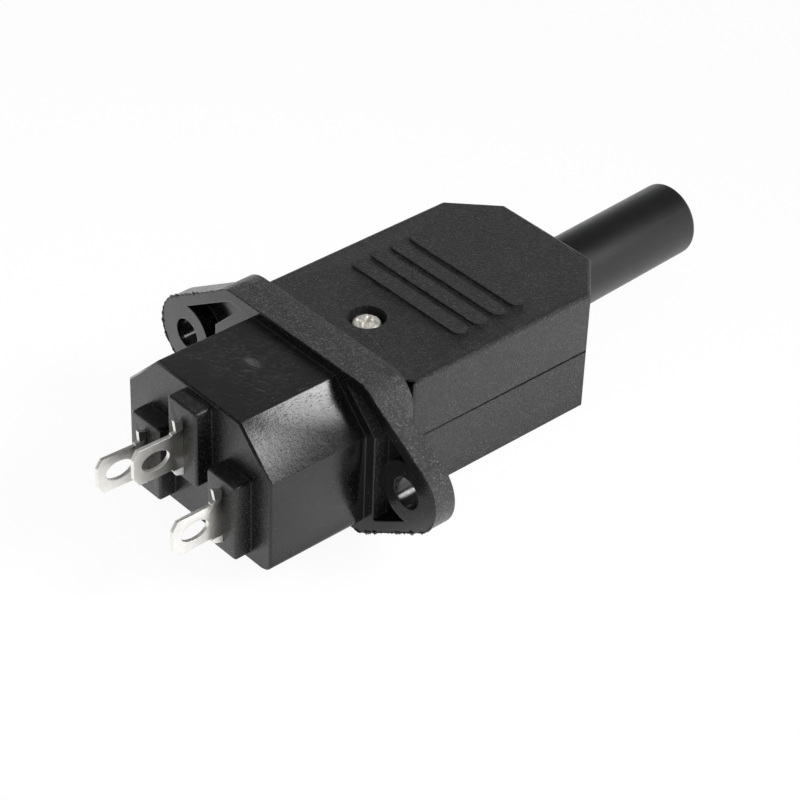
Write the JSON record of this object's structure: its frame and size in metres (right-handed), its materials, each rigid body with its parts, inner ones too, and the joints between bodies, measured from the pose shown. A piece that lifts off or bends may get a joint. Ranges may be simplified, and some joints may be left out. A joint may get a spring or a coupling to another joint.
{
  "type": "c13 power connector with panel inlet",
  "caption": "Rewireable cable connector with a split ribbed housing and rubber boot, plugged into its screw-mounted panel inlet with solder tabs.",
  "frame": {"origin": "halfway between the two flange screw holes, on the face of the inlet that seats on the panel", "axes": "+X out of the panel along the connector to its cable boot, +Y across the flange towards the live pin, +Z towards the earth pin's side"},
  "size_m": [0.0866, 0.0498, 0.0212],
  "materials": {
    "inlet_plastic": "semi-gloss black moulding",
    "housing_plastic": "fine matte texture, charcoal black",
    "boot_rubber": "smooth black rubber",
    "tinned_brass": "bright tin plate with sheared edges",
    "contact_brass": "plain stamped brass",
    "screw_steel": "nickel plate"
  },
  "bodies": {
    "inlet": {"inlet_body": "inlet_plastic", "inlet_pin_live": "tinned_brass", "inlet_pin_neutral": "tinned_brass", "inlet_pin_earth": "tinned_brass"},
    "connector": {"contact_block": "housing_plastic", "upper_shell": "housing_plastic", "lower_shell": "housing_plastic", "contact_live": "contact_brass", "contact_neutral": "contact_brass", "contact_earth": "contact_brass", "wire_plate_live": "screw_steel", "wire_plate_neutral": "screw_steel", "wire_plate_earth": "screw_steel", "terminal_screw_live": "screw_steel", "terminal_screw_neutral": "screw_steel", "terminal_screw_earth": "screw_steel", "shell_screw": "screw_steel", "cord_clamp": "housing_plastic", "clamp_screw_left": "screw_steel", "clamp_screw_right": "screw_steel", "cable_boot": "boot_rubber"}
  },
  "joints": [
    {"name": "unplug_slide", "type": "slide", "parent": "inlet", "child": "connector", "axis": [1, 0, 0], "range_m": [0, 0.017]}
  ]
}
